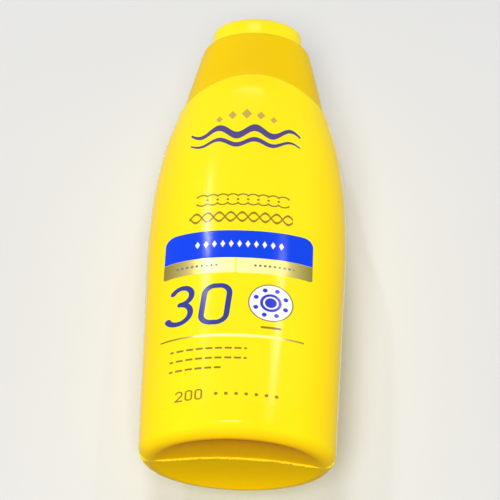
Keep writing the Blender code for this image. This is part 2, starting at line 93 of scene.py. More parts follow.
SPOUT_TOP = DECK_HEIGHT + 0.0022
ORIFICE_RADIUS = 0.0031
FIT_GAP = 0.0003
SEAL_LENGTH = 0.0036
SEAL_THICKNESS = 0.0008
NECK_SKIRT_GAP = 0.0009
NECK_SKIRT_THICKNESS = 0.0010
NECK_SKIRT_FOOT = NECK_ROOT_HEIGHT + 0.0013
LID_FOOT_HEIGHT = DECK_HEIGHT + FIT_GAP
LID_TOP_HEIGHT = LID_FOOT_HEIGHT + 0.0100
LID_SQUARENESS = 1.95
LID_WALL = 0.0011
LID_LEAN = 0.0004
LID_ROUND = 0.0030
LID_CROWN = 0.0007
LID_EDGE = 0.0003
PLUG_GAP = 0.0004
PLUG_WALL = 0.0008
PLUG_TIP = SPOUT_TOP - 0.0010
PARTING_DIP = 0.0013
LID_HALF_WIDTH = CLOSURE_TOP_WIDTH / 2 - 0.00235
LID_HALF_DEPTH = CLOSURE_TOP_DEPTH / 2 - CLOSURE_ROUND
LABEL_SHARE = 0.775
LABEL_BOTTOM = 0.0112
LABEL_TOP = SHOULDER_HEIGHT + SHOULDER_RISE - 0.0090
LABEL_TOP_DROP = 0.0080
LABEL_CORNER = 0.0045
LABEL_LIFT = 0.00005
LABEL_THICKNESS = 0.00012
FRONT_LABEL_SHIFT = -0.0022

# How the meshes are made: points in a ring, merging in metres, sharp edges in degrees
SIDES = 256
MERGE_DISTANCE = 0.000002
SHARP_ANGLE = 42


def linear(red, green, blue):
    """A colour given as screen values from 0 to 255."""
    def one(value):
        share = value / 255
        return share / 12.92 if share <= 0.04045 else ((share + 0.055) / 1.055) ** 2.4
    return one(red), one(green), one(blue), 1.0


YELLOW = linear(250, 233, 20)
YELLOW_DEEP = linear(249, 222, 15)
# Painted shade: the yellow darker and more orange along the narrow sides
YELLOW_SIDE_SHADE = linear(252, 216, 10)
# Painted shade: the deeper, more orange yellow of the foot and the underside
YELLOW_BASE_SHADE = linear(253, 203, 4)
# Painted shade: the darker orange of the front half of the base's dome
YELLOW_DOME_SHADE = linear(240, 162, 2)
# Painted highlight: the lighter yellow of the pinch-off seam and the line along it
SEAM_HIGHLIGHT_YELLOW = linear(254, 236, 40)
CLOSURE_YELLOW = linear(240, 202, 9)
CLOSURE_DEEP = linear(236, 194, 7)
BAND_BLUE = linear(3, 64, 228)
NAVY = linear(80, 68, 128)
NUMBER_BLUE = linear(54, 61, 144)
SEAL_BLUE = linear(52, 58, 200)
TEXT_BROWN = linear(150, 116, 40)
# The gold foil's painted reflection, from its dark ends to its light middle
FOIL_DARK = linear(150, 136, 62)
FOIL_LIGHT = linear(240, 226, 142)
RULE_DARK = linear(158, 124, 22)
DULL_GOLD = linear(196, 166, 76)
SEAL_EDGE = linear(120, 96, 60)
SPECK_GREY = linear(112, 112, 128)
WHITE = linear(244, 244, 240)


# Shapes

def mix(start, end, share):
    return start + (end - start) * share


def smooth_curve(points):
    """A function through heights and sizes that never swings past them."""
    heights, sizes = np.array(points).T
    steps = np.diff(heights)
    slopes = np.diff(sizes) / steps
    tangents = np.concatenate(([slopes[0]], np.zeros(len(slopes) - 1), [slopes[-1]]))
    for k in range(1, len(slopes)):
        if slopes[k - 1] * slopes[k] > 0:
            tangents[k] = 2 * slopes[k - 1] * slopes[k] / (slopes[k - 1] + slopes[k])

    def size_at(height):
        k = int(np.clip(np.searchsorted(heights, height) - 1, 0, len(slopes) - 1))
        t = (height - heights[k]) / steps[k]
        start = (1 + 2 * t) * (1 - t) ** 2 * sizes[k] + t * (1 - t) ** 2 * steps[k] * tangents[k]
        end = t * t * (3 - 2 * t) * sizes[k + 1] + t * t * (t - 1) * steps[k] * tangents[k + 1]
        return float(start + end)

    return size_at


def closure_half(foot, top, height):
    share = (height - SHOULDER_HEIGHT) / (DECK_HEIGHT - SHOULDER_HEIGHT)
    return mix(foot, top, share) / 2


def closure_half_width(height):
    return closure_half(CLOSURE_FOOT_WIDTH, CLOSURE_TOP_WIDTH, height)


def closure_half_depth(height):
    return closure_half(CLOSURE_FOOT_DEPTH, CLOSURE_TOP_DEPTH, height)


def body_profile(base, widest, closure_half_size):
    """Half a width or depth of the body by height, from the base to the shoulder's edge."""
    shoulder = closure_half_size(SHOULDER_HEIGHT) + SHOULDER_STEP
    edge_height = SHOULDER_HEIGHT + SHOULDER_RISE
    points = [(0, base / 2)]
    for height_share, size_share in LOWER_SWELL_SHARES:
        points.append((WIDEST_HEIGHT * height_share, mix(base, widest, size_share) / 2))
    points.append((WIDEST_HEIGHT, widest / 2))
    for height_share, size_share in UPPER_TAPER_SHARES:
        height = mix(WIDEST_HEIGHT, SHOULDER_HEIGHT, height_share)
        points.append((height, mix(widest / 2, shoulder, size_share)))
    points.append((SHOULDER_HEIGHT, shoulder))
    points.append((edge_height, closure_half_size(edge_height) + SHOULDER_STEP))
    return smooth_curve(points)


body_half_width = body_profile(BASE_WIDTH, BODY_WIDTH, closure_half_width)
body_half_depth = body_profile(BASE_DEPTH, BODY_DEPTH, closure_half_depth)


def squareness(height):
    share = min(max(height / SQUARENESS_HEIGHT, 0), 1)
    return mix(BASE_SQUARENESS, BODY_SQUARENESS, share)


def oval(half_width, half_depth, exponent, angle):
    across, along = math.cos(angle), math.sin(angle)
    x = half_width * math.copysign(abs(across) ** (2 / exponent), across)
    y = half_depth * math.copysign(abs(along) ** (2 / exponent), along)
    return x, y


def saddle(angle):
    """How far the shoulder's edge rises: most at the front and back, nothing at the sides."""
    across = abs(math.cos(angle)) ** (2 / BODY_SQUARENESS)
    return SHOULDER_RISE * math.cos(math.pi / 2 * across)


def ease(share):
    share = min(max(share, 0), 1)
    return share * share * (3 - 2 * share)


def ring(place):
    return [place(2 * math.pi * k / SIDES) for k in range(SIDES)]


def circle_ring(radius, height):
    return ring(lambda angle: (radius * math.cos(angle), radius * math.sin(angle), height))


def dip(angle):
    """How far the line between lid and closure sinks towards the sides."""
    return PARTING_DIP * math.cos(angle)**2


def lid_oval(half_width, half_depth, height, dipped=0.0):
    return ring(lambda angle: (
        *oval(half_width, half_depth, LID_SQUARENESS, angle), height - dipped * dip(angle)
    ))


def lid_ring(inset, height, dipped=0.0):
    return lid_oval(LID_HALF_WIDTH - inset, LID_HALF_DEPTH - inset, height, dipped)


def point_ring(height):
    return [(0, 0, height)] * SIDES


def skin(name, rings):
    """A closed surface through rings of points, made from one grid."""
    work = bmesh.new()
    bmesh.ops.create_grid(work, x_segments=SIDES, y_segments=len(rings) - 1, size=1)
    for corner in work.verts:
        column = round((corner.co.x + 1) / 2 * SIDES) % SIDES
        row = round((corner.co.y + 1) / 2 * (len(rings) - 1))
        corner.co = rings[row][column]
    bmesh.ops.remove_doubles(work, verts=work.verts, dist=MERGE_DISTANCE)
    bmesh.ops.recalc_face_normals(work, faces=work.faces)
    return finished(name, work)


def placed(name, data):
    thing = bpy.data.objects.new(name, data)
    bpy.context.scene.collection.objects.link(thing)
    return thing


def finished(name, work):
    data = bpy.data.meshes.new(name)
    work.to_mesh(data)
    work.free()
    data.shade_smooth()
    data.set_sharp_from_angle(angle=math.radians(SHARP_ANGLE))
    return placed(name, data)


def walled(name, work, thickness):
    """Gives an open skin, whose faces point outwards, a wall on its inside."""
    work.normal_update()
    bmesh.ops.solidify(work, geom=work.faces, thickness=thickness)
    bmesh.ops.recalc_face_normals(work, faces=work.faces)
    return finished(name, work)


def quarter(steps):
    """Shares of a quarter turn: how far in and how far up."""
    for step in range(1, steps + 1):
        turn = math.pi / 2 * step / steps
        yield 1 - math.cos(turn), math.sin(turn)


def push_up_height(share, angle=0.0):
    """Height of the pushed-up base from its middle (share 0) to the standing ring (1)."""
    power = 2 + (PUSH_UP_POWER - 2) * math.sin(angle)**2
    return PUSH_UP * (1 - share**power)


def dome_ring(edge_x, edge_y, share, lift=0.0):
    def place(angle):
        point = oval(edge_x * share, edge_y * share, BASE_SQUARENESS, angle)
        return (*point, push_up_height(share, angle) + lift)

    return ring(place)


def foot_ring(turn, wall=0.0):
    """The foot's rounded corner, from the standing ring (0) up to the side (a quarter turn)."""
    foot_x = body_half_width(BASE_FILLET_HEIGHT) - wall
    foot_y = body_half_depth(BASE_FILLET_HEIGHT) - wall

    def place(angle):
        power = 2 / (2 - FRONT_CORNER_TIGHTNESS * math.sin(angle)**2)
        inward = 1 - math.sin(turn)**power
        height = mix(wall, BASE_FILLET_HEIGHT, 1 - max(math.cos(turn), 0)**power)
        half_width = foot_x - (BASE_FILLET_INSET - wall) * inward
        half_depth = foot_y - (BASE_FILLET_DEPTH_INSET - wall) * inward
        return (*oval(half_width, half_depth, squareness(height), angle), height)

    return ring(place)


def body_ring(level, lift, inset=0.0):
    """A ring of the body's wall. Lift (0 to 1) bends it like the shoulder's edge."""
    def place(angle):
        height = level + lift * saddle(angle)
        half_width = body_half_width(height) - inset
        half_depth = body_half_depth(height) - inset
        return (*oval(half_width, half_depth, squareness(height), angle), height)

    return ring(place)


def shoulder_ring(inset, rise):
    def place(angle):
        start = SHOULDER_HEIGHT - SHOULDER_RADIUS + saddle(angle)
        half_width = body_half_width(start) - inset
        half_depth = body_half_depth(start) - inset
        return (*oval(half_width, half_depth, BODY_SQUARENESS, angle), start + rise)

    return ring(place)


def neck_slope(ledge, root, step, steps=8):
    """A ring of the slope that rises from the shoulder's ledge to the neck's root."""
    share, rise = step / steps, math.sin(math.pi / 2 * step / steps)
    return [
        (mix(a[0], b[0], share), mix(a[1], b[1], share), mix(a[2], b[2], rise))
        for a, b in zip(ledge, root)
    ]


def make_bottle():
    """Underside, foot, wall, shoulder and neck, then the inside of each back to the base."""
    edge_x = body_half_width(BASE_FILLET_HEIGHT) - BASE_FILLET_INSET - STANDING_RING
    edge_y = body_half_depth(BASE_FILLET_HEIGHT) - BASE_FILLET_DEPTH_INSET - STANDING_RING_FRONT
    dome_steps, foot_steps, side_steps, shoulder_steps = 31, 24, 34, 32
    rings = [point_ring(PUSH_UP)]
    for step in range(1, dome_steps):
        rings.append(dome_ring(edge_x, edge_y, math.sin(math.pi / 2 * step / dome_steps)))
    rings.append(dome_ring(edge_x, edge_y, 1))
    for step in range(foot_steps + 1):
        rings.append(foot_ring(math.pi / 2 * step / foot_steps))
    for step in range(1, side_steps):
        level = mix(BASE_FILLET_HEIGHT, SADDLE_START_HEIGHT, step / side_steps)
        rings.append(body_ring(level, 0))
    top = SHOULDER_HEIGHT - SHOULDER_RADIUS
    for step in range(shoulder_steps + 1):
        share = step / shoulder_steps
        rings.append(body_ring(mix(SADDLE_START_HEIGHT, top, share), ease(share)))
    for inward, upward in quarter(8):
        rings.append(shoulder_ring(SHOULDER_RADIUS * inward, SHOULDER_RADIUS * upward))
    ledge = shoulder_ring(SHOULDER_LEDGE, SHOULDER_RADIUS)
    rings.append(ledge)
    root = circle_ring(NECK_RADIUS, NECK_ROOT_HEIGHT)
    for step in range(1, 9):
        rings.append(neck_slope(ledge, root, step))
    bore = NECK_RADIUS - BODY_WALL
    for radius, height in (
        (NECK_RADIUS, NECK_BEAD_HEIGHT - 0.0009),
        (NECK_RADIUS + 0.0004, NECK_BEAD_HEIGHT - 0.0005),
        (NECK_RADIUS + 0.0006, NECK_BEAD_HEIGHT),
        (NECK_RADIUS + 0.0004, NECK_BEAD_HEIGHT + 0.0005),
        (NECK_RADIUS, NECK_BEAD_HEIGHT + 0.0009),
        (NECK_RADIUS, NECK_TOP_HEIGHT - 0.0004),
        (NECK_RADIUS - 0.0001, NECK_TOP_HEIGHT - 0.0001),
        (NECK_RADIUS - 0.0004, NECK_TOP_HEIGHT),
        (bore + 0.0002, NECK_TOP_HEIGHT),
        (bore, NECK_TOP_HEIGHT - 0.0002),
        (bore, NECK_ROOT_HEIGHT - BODY_WALL),
    ):
        rings.append(circle_ring(radius, height))
    inner_ledge = shoulder_ring(SHOULDER_LEDGE + 0.0006, SHOULDER_RADIUS - BODY_WALL - 0.0004)
    inner_root = circle_ring(bore, NECK_ROOT_HEIGHT - BODY_WALL)
    for step in range(7, -1, -1):
        rings.append(neck_slope(inner_ledge, inner_root, step))
    dome_steps, foot_steps, side_steps, shoulder_steps = 12, 6, 12, 14
    top = SHOULDER_HEIGHT - SHOULDER_RADIUS - 0.0012
    for step in range(shoulder_steps, -1, -1):
        share = step / shoulder_steps
        rings.append(body_ring(mix(SADDLE_START_HEIGHT, top, share), ease(share), BODY_WALL))
    for step in range(side_steps - 1, -1, -1):
        level = mix(BASE_FILLET_HEIGHT, SADDLE_START_HEIGHT, step / side_steps)
        rings.append(body_ring(level, 0, BODY_WALL))
    for step in range(foot_steps - 1, -1, -1):
        rings.append(foot_ring(math.pi / 2 * step / foot_steps, BODY_WALL))
    for step in range(dome_steps - 1, 0, -1):
        rings.append(dome_ring(edge_x, edge_y, step / dome_steps, BODY_WALL))
    rings.append(point_ring(PUSH_UP + BODY_WALL))
    return skin("bottle_body", rings)


def closure_ring(level, lift, extra=0.0, dipped=0.0):
    """A ring of the skirt. Lift bends it like the shoulder, dipped like the lid's line."""
    def place(angle):
        height = level + lift * saddle(angle)
        rise = max(height - (DECK_HEIGHT - CLOSURE_ROUND), 0)
        rounded = CLOSURE_ROUND - math.sqrt(max(CLOSURE_ROUND**2 - rise**2, 0))
        slope_share = max(height - (DECK_HEIGHT - HINGE_SLOPE_HEIGHT), 0) / HINGE_SLOPE_HEIGHT
        sloped = CLOSURE_ROUND * slope_share**2
        back = (math.sin(angle) - HINGE_SLOPE_START) / (HINGE_SLOPE_END - HINGE_SLOPE_START)
        inset = mix(rounded, sloped, ease(back)) + extra
        half_width = closure_half_width(height) - inset
        half_depth = closure_half_depth(height) - inset
        level_here = height - dipped * dip(angle)
        return (*oval(half_width, half_depth, BODY_SQUARENESS, angle), level_here)

    return ring(place)


def make_closure():
    """Skirt, deck, rim, spout, funnel, seals and neck skirt in one surface, as it is moulded."""
    foot = SHOULDER_HEIGHT + FIT_GAP
    edge = CLOSURE_EDGE
    round_start = DECK_HEIGHT - CLOSURE_ROUND
    under = DECK_HEIGHT - CLOSURE_WALL
    rings = [
        closure_ring(foot, 1, CLOSURE_WALL),
        closure_ring(foot, 1, edge),
        closure_ring(foot + edge * 0.3, 1, edge * 0.3),
        closure_ring(foot + edge, 1),
    ]
    side_steps, round_steps, inner_steps = 30, 14, 12
    for step in range(1, side_steps + 1):
        share = step / side_steps
        level = mix(foot + edge, round_start, share)
        rings.append(closure_ring(level, (1 - share) ** 2, 0, share**3))
    for step in range(1, round_steps + 1):
        turn = math.pi / 2 * step / round_steps
        rings.append(closure_ring(round_start + CLOSURE_ROUND * math.sin(turn), 0, 0, 1))
    rim_out = LID_WALL + 0.0005
    rim_in = rim_out + RIM_THICKNESS
    rim_top = DECK_HEIGHT + RIM_HEIGHT
    for inset, height in (
        (rim_out - 0.0002, DECK_HEIGHT),
        (rim_out, DECK_HEIGHT + 0.0002),
        (rim_out, rim_top - 0.0002),
        (rim_out + 0.0002, rim_top),
        (rim_in - 0.0002, rim_top),
        (rim_in, rim_top - 0.0002),
        (rim_in, DECK_HEIGHT + 0.0002),
        (rim_in + 0.0002, DECK_HEIGHT),
    ):
        rings.append(lid_ring(inset, height, 1))
    seal_out = NECK_RADIUS - BODY_WALL - FIT_GAP
    seal_in = seal_out - SEAL_THICKNESS
    seat = NECK_TOP_HEIGHT + FIT_GAP
    seat_top = seat + CLOSURE_WALL
    funnel_top = mix(seat_top, DECK_HEIGHT, 0.59)
    skirt_in = NECK_RADIUS + NECK_SKIRT_GAP
    skirt_out = skirt_in + NECK_SKIRT_THICKNESS
    for radius, height in (
        (SPOUT_RADIUS + 0.0008, DECK_HEIGHT),
        (SPOUT_RADIUS + 0.0002, DECK_HEIGHT + 0.0002),
        (SPOUT_RADIUS, DECK_HEIGHT + 0.0007),
        (SPOUT_RADIUS, SPOUT_TOP - 0.0006),
        (SPOUT_RADIUS - 0.0001, SPOUT_TOP - 0.0003),
        (SPOUT_RADIUS - 0.0003, SPOUT_TOP - 0.0001),
        (SPOUT_RADIUS - 0.0006, SPOUT_TOP),
        (ORIFICE_RADIUS + 0.0005, SPOUT_TOP),
        (ORIFICE_RADIUS + 0.0002, SPOUT_TOP - 0.0001),
        (ORIFICE_RADIUS, SPOUT_TOP - 0.0004),
        (ORIFICE_RADIUS, funnel_top - 0.0006),
        (seal_in, seat_top - 0.0006),
        (seal_in, seat - SEAL_LENGTH),
        (seal_out - 0.0004, seat - SEAL_LENGTH),
        (seal_out, seat - SEAL_LENGTH + 0.0004),
        (seal_out, seat),
        (skirt_in, seat),
        (skirt_in, NECK_SKIRT_FOOT),
        (skirt_out, NECK_SKIRT_FOOT),
        (skirt_out, seat_top - 0.0004),
        (seal_out + 0.0004, seat_top),
        (SPOUT_RADIUS, funnel_top),
        (SPOUT_RADIUS, under),
    ):
        rings.append(circle_ring(radius, height))
    rings.append(lid_ring(CLOSURE_WALL, under, 1))
    for step in range(inner_steps, -1, -1):
        share = step / inner_steps
        level = mix(foot, under - CLOSURE_WALL, share)
        rings.append(closure_ring(level, (1 - share) ** 2, CLOSURE_WALL, share**3))
    return skin("closure_skirt_and_spout", rings)


def make_lid():
    """Crown, rounded edge, side and foot, then the inside with its hollow plug."""
    crown_foot = LID_TOP_HEIGHT - LID_CROWN
    first_turn = math.atan(2 * LID_LEAN / (crown_foot - LID_ROUND - LID_FOOT_HEIGHT))
    sine, cosine = math.sin(first_turn), math.cos(first_turn)
    round_start = crown_foot - LID_ROUND * (1 - sine)
    flat_x = LID_HALF_WIDTH - LID_LEAN - LID_ROUND * cosine
    flat_y = LID_HALF_DEPTH - LID_LEAN - LID_ROUND * cosine
    crown_steps, round_steps, side_steps = 14, 14, 8
    rings = [point_ring(LID_TOP_HEIGHT)]
    for step in range(1, crown_steps):
        share = step / crown_steps
        height = LID_TOP_HEIGHT - LID_CROWN * share**2
        rings.append(lid_oval(flat_x * share, flat_y * share, height))
    for step in range(round_steps, -1, -1):
        turn = mix(first_turn, math.pi / 2, step / round_steps)
        inset = LID_LEAN + LID_ROUND * (cosine - math.cos(turn))
        rings.append(lid_ring(inset, round_start + LID_ROUND * (math.sin(turn) - sine)))
    edge = LID_EDGE
    for step in range(1, side_steps):
        share = step / side_steps
        height = mix(round_start, LID_FOOT_HEIGHT + edge, share)
        rings.append(lid_ring(LID_LEAN * (1 - share) ** 2, height, share))
    for inset, rise in ((0, edge), (edge * 0.3, edge * 0.3), (edge, 0), (LID_WALL, 0)):
        rings.append(lid_ring(inset, LID_FOOT_HEIGHT + rise, 1))
    inner_round = LID_ROUND - LID_WALL
    rings.append(lid_ring(LID_WALL + LID_LEAN, round_start))
    for inward, upward in quarter(6):
        inset = LID_WALL + LID_LEAN + inner_round * inward
        rings.append(lid_ring(inset, round_start + inner_round * upward))
    ceiling = crown_foot - LID_WALL
    plug_out = ORIFICE_RADIUS - PLUG_GAP
    plug_in = plug_out - PLUG_WALL
    for radius, height in (
        (plug_out + 0.0006, ceiling),
        (plug_out + 0.0001, ceiling - 0.0002),
        (plug_out, ceiling - 0.0006),
        (plug_out, PLUG_TIP + 0.0003),
        (plug_out - 0.0003, PLUG_TIP),
        (plug_in + 0.0001, PLUG_TIP),
        (plug_in, PLUG_TIP + 0.0002),
        (plug_in, ceiling),
    ):
        rings.append(circle_ring(radius, height))
    rings.append(point_ring(ceiling))
    return skin("lid_cap", rings)


def label_place(across, share, side, shift):
    """A point on a label: across from -1 to 1, share from its foot (0) to its top (1)."""
    top = LABEL_TOP - LABEL_TOP_DROP * (1 - math.cos(math.pi / 2 * across))
    height = mix(LABEL_BOTTOM, top, share)
    half_width = body_half_width(height)
    x = across * half_width * LABEL_SHARE + shift
    exponent = squareness(height)
    ratio = abs(x) / (half_width + LABEL_LIFT)
    bulge = (1 - ratio**exponent) ** (1 / exponent)
    return x, side * (body_half_depth(height) + LABEL_LIFT) * bulge, height


def make_label(name, side, shift):
    """A thin film with rounded corners on the front (side -1) or back (side 1) of the body."""
    columns, corner_rows, middle_rows = 120, 10, 120
    height = LABEL_TOP - LABEL_BOTTOM
    half_width = BODY_WIDTH / 2 * LABEL_SHARE
    rows = []
    for step in range(corner_rows):
        turn = math.pi / 2 * step / corner_rows
        inset = LABEL_CORNER * (1 - math.sin(turn))
        rows.append((LABEL_CORNER * (1 - math.cos(turn)) / height, 1 - inset / half_width))
    corner = LABEL_CORNER / height
    for step in range(middle_rows + 1):
        rows.append((mix(corner, 1 - corner, step / middle_rows), 1))
    rows.extend((1 - share, width) for share, width in reversed(rows[:corner_rows]))
    work = bmesh.new()
    bmesh.ops.create_grid(work, x_segments=columns, y_segments=len(rows) - 1, size=1)
    for vertex in work.verts:
        share, width = rows[round((vertex.co.y + 1) / 2 * (len(rows) - 1))]
        vertex.co = label_place(vertex.co.x * width, share, side, shift)
    if side > 0:
        bmesh.ops.reverse_faces(work, faces=work.faces)
    return walled(name, work, LABEL_THICKNESS)


def base_line(x):
    """Height of the underside along its middle line, and which way its surface faces."""
    down = Vector((0, 0, -1))
    foot = body_half_width(BASE_FILLET_HEIGHT)
    edge = foot - BASE_FILLET_INSET - STANDING_RING
    if abs(x) <= edge:
        return push_up_height(abs(x) / edge), down
    sine = 1 - (foot - abs(x)) / BASE_FILLET_INSET
    if sine <= 0:
        return 0.0, down
    cosine = math.sqrt(1 - sine**2)
    out = math.copysign(BASE_FILLET_HEIGHT * sine, x)
    facing = Vector((out, 0, -BASE_FILLET_INSET * cosine)).normalized()
    return BASE_FILLET_HEIGHT * (1 - cosine), facing


def make_base_seam():
    """The ragged raised line where the mould pinched the plastic off across the base."""
    reach = body_half_width(BASE_FILLET_HEIGHT) - SEAM_END_INSET
    rng = np.random.default_rng(7)
    columns = 320
    rough = np.convolve(rng.normal(0, 1, columns + 9), np.ones(4) / 4, "same")[:columns + 1]
    lumps = np.convolve(rng.random(columns + 1) > 0.965, np.hanning(7), "same")
    work = bmesh.new()
    bmesh.ops.create_grid(work, x_segments=columns, y_segments=10, size=1)
    for vertex in work.verts:
        column = round((vertex.co.x + 1) / 2 * columns)
        turn = vertex.co.y * math.pi / 2
        x = vertex.co.x * reach
        level, outward = base_line(x)
        ragged = 1 + 0.30 * rough[column] + 0.45 * lumps[column]
        end_height = SEAM_HEIGHT * 0.4 + (reach - abs(x)) * 0.12
        height = min(SEAM_HEIGHT * ragged, level * 0.9, end_height)
        width = 1 + 0.20 * rough[(column + 60) % columns] + 0.4 * lumps[column]
        sway = SEAM_SWAY * rough[(column + 120) % columns]
        side = math.sin(turn) * SEAM_HALF_WIDTH * width + sway
        out = (height + SEAM_ROOT) * math.cos(turn) - SEAM_ROOT
        vertex.co = Vector((x, side, level)) + outward * out
    bmesh.ops.reverse_faces(work, faces=work.faces)
    return walled("base_pinch_seam", work, SEAM_SKIN)


# Materials

FILM_SHEEN = 0.13
BOTTLE_SHEEN = 0.08
LID_SHEEN = 0.11
CLOSURE_SHEEN = 0.05

# Scales of the surface's noise, from soft clouds to fine grain
CLOUDS, WAVES, RAGGED, SPECKS, PEEL, RUBS, GRAIN = 45, 110, 420, 620, 700, 900, 2600

# Depths of the surface's relief, in metres
MOULD_LINE_DEPTH = 0.00006
PEEL_DEPTH = 0.00012
FILM_WAVE = 0.00006
FILM_GRAIN = 0.000004

# In mm: the oval inside the standing ring, how high the foot's painted shade and the underside
# reach, the painted highlight along the pinch-off seam, and a mould line that ends below the
# bottle
INSIDE_RING_X, INSIDE_RING_Y = 25.4, 13.9
BASE_SHADE_TOP, UNDERSIDE_TOP = 2.9, 4.5
SEAM_HIGHLIGHT_HALF, SEAM_HIGHLIGHT_REACH, SEAM_HIGHLIGHT_TOP = 0.26, 28.2, 4.0
NO_MOULD_LINE = -10.0


class Value:
    """A number or colour in a material's nodes, with ordinary arithmetic."""

    def __init__(self, tree, socket=None):
        self.tree = tree
        self.socket = socket

    def node(self, kind, inputs=None, output=0, **settings):
        """Adds a node with its settings, then the values or links of its sockets."""
        made = self.tree.nodes.new(kind)
        for name, setting in settings.items():
            setattr(made, name, setting)
        for key, item in (inputs or {}).items():
            if isinstance(item, Value):
                self.tree.links.new(item.socket, made.inputs[key])
            else:
                made.inputs[key].default_value = item
        return Value(self.tree, made.outputs[output])

    def maths(self, operation, *items, clamp=False):
        inputs = dict(enumerate((self,) + items))
        return self.node("ShaderNodeMath", inputs, operation=operation, use_clamp=clamp)

    def __add__(self, other):
        return self.maths("ADD", other)

    __radd__ = __add__

    def __sub__(self, other):
        return self.maths("SUBTRACT", other)

    def __rsub__(self, other):
        return self * -1 + other

    def __mul__(self, other):
        return self.maths("MULTIPLY", other)

    __rmul__ = __mul__

    def __truediv__(self, other):
        return self.maths("DIVIDE", other)

    def __abs__(self):
        return self.maths("ABSOLUTE")

    def least(self, other):
        return self.maths("MINIMUM", other)

    def most(self, other):
        return self.maths("MAXIMUM", other)

    def sine(self):
        return self.maths("SINE")

    def root(self):
        return self.maths("SQRT")

    def above(self, other):
        return self.maths("GREATER_THAN", other)

    def clamped(self):
        return self.maths("ADD", 0.0, clamp=True)

    def repeated(self, step):
        """Distance from the nearest whole multiple of a step, with its sign."""
        return self.maths("WRAP", step / 2, -step / 2)

    def shade(self, first, second):
        """A colour that goes from first to second as this value goes from 0 to 1."""
        inputs = {0: self, 6: first, 7: second}
        return self.node("ShaderNodeMix", inputs, 2, data_type="RGBA")


# Print. Its shapes are gaps: the distance in mm to an outline, less than 0 inside it.

def distance(across, along):
    return (across * across + along * along).root()


def ink(gap, soft=0.07):
    """1 inside a shape and 0 outside, with a soft edge in mm."""
    return (0.5 - gap / (2 * soft)).clamped()


def plate(x, z, left, low, right, high, corner):
    """The gap to a rectangle with rounded corners."""
    over_x = abs(x - (left + right) / 2) - ((right - left) / 2 - corner)
    over_z = abs(z - (low + high) / 2) - ((high - low) / 2 - corner)
    return distance(over_x.most(0.0), over_z.most(0.0)) + over_x.most(over_z).least(0.0) - corner


def stroke(x, z, start, end, width):
    """The gap to a round-ended line."""
    run_x, run_z = end[0] - start[0], end[1] - start[1]
    square = run_x**2 + run_z**2
    share = (((x - start[0]) * run_x + (z - start[1]) * run_z) / square).clamped()
    return distance(x - start[0] - share * run_x, z - start[1] - share * run_z) - width / 2


def arc(x, z, middle, radius, towards, half_turn, width):
    """The gap to a round-ended arc whose middle points towards an angle in degrees."""
    turn = math.radians(towards)
    off_x, off_z = x - middle[0], z - middle[1]
    along = off_x * math.cos(turn) + off_z * math.sin(turn)
    across = abs(off_z * math.cos(turn) - off_x * math.sin(turn))
    sine, cosine = math.sin(math.radians(half_turn)), math.cos(math.radians(half_turn))
    outside = (across * cosine - along * sine).above(0.0)
    end_gap = distance(across - radius * sine, along - radius * cosine)
    side_gap = abs(distance(across, along) - radius)
    return side_gap + outside * (end_gap - side_gap) - width / 2


def lozenge(x, z, middle, half_width, half_height):
    scale = half_width * half_height / math.hypot(half_width, half_height)
    return (abs(x - middle[0]) / half_width + abs(z - middle[1]) / half_height - 1) * scale


def join(gaps):
    """The gap to several shapes taken as one."""
    result = gaps[0]
    for gap in gaps[1:]:
        result = result.least(gap)
    return result


def digit_three(x, z, left, low, height, width, stroke_width):
    """Two open arcs, the lower one a little larger."""
    upper = (height - stroke_width) * 0.233
    lower = (height - stroke_width) * 0.267
    middle = left + width / 2
    top = (middle, low + height - stroke_width / 2 - upper)
    foot = (middle, low + stroke_width / 2 + lower)
    return join([
        arc(x, z, top, upper, 30, 120, stroke_width),
        arc(x, z, foot, lower, -30, 120, stroke_width),
    ])


def digit_nought(x, z, left, low, height, width, stroke_width):
    """The outline of a rounded plate."""
    half = stroke_width / 2
    edges = (left + half, low + half, left + width - half, low + height - half)
    return abs(plate(x, z, *edges, width * 0.42 - half)) - half


def digit_two(x, z, left, low, height, width, stroke_width):
    """An arc, a slanted line from its end and a level foot."""
    radius = (width - stroke_width) / 2
    middle = (left + width / 2, low + height - stroke_width / 2 - radius)
    turn = math.radians(-38)
    bend = (middle[0] + radius * math.cos(turn), middle[1] + radius * math.sin(turn))
    corner = (left + stroke_width / 2, low + stroke_width / 2)
    end = (left + width - stroke_width / 2, low + stroke_width / 2)
    return join([
        arc(x, z, middle, radius, 60, 98, stroke_width),
        stroke(x, z, bend, corner, stroke_width),
        stroke(x, z, corner, end, stroke_width),
    ])


# Plastics and films

def new_material(name):
    material = bpy.data.materials.new(name)
    material.use_nodes = True
    tree = material.node_tree
    place = Value(tree).node("ShaderNodeTexCoord", output="Object")
    return material, tree.nodes["Principled BSDF"], place


def split(place):
    """The object's own x, y and z in mm."""
    parts = place.node("ShaderNodeSeparateXYZ", {0: place}).socket.node
    return [Value(place.tree, part) * 1000 for part in parts.outputs]


def noise(place, scale, detail=2.0, roughness=0.5):
    inputs = {"Vector": place, "Scale": scale, "Detail": detail, "Roughness": roughness}
    return place.node("ShaderNodeTexNoise", inputs)


def bump(height, depth, previous=None):
    """Surface relief: a height from 0 to 1 stands for a depth in metres."""
    inputs = {"Strength": 1.0, "Distance": depth, "Height": height}
    if previous:
        inputs["Normal"] = previous
    return height.node("ShaderNodeBump", inputs)


def feed(node, name, value):
    value.tree.links.new(value.socket, node.inputs[name])


def side_shade_share(x):
    """Share of the painted side shade: 0 over the middle of the front and back, 1 along the
    narrow sides.
    """
    share = ((abs(x) - 15.0) / 14.0).clamped()
    return share * share * (3 - 2 * share)


def cloudy_yellow(place, x, colour, deep, side_shade_colour):
    """The ground colour, a little cloudy, with painted shade deeper at the sides, and the clouds
    alone.
    """
    clouds = noise(place, CLOUDS, 3)
    tone = ((clouds - 0.5) * 0.8 + 0.4).clamped()
    return side_shade_share(x).shade(tone.shade(colour, deep), side_shade_colour), clouds


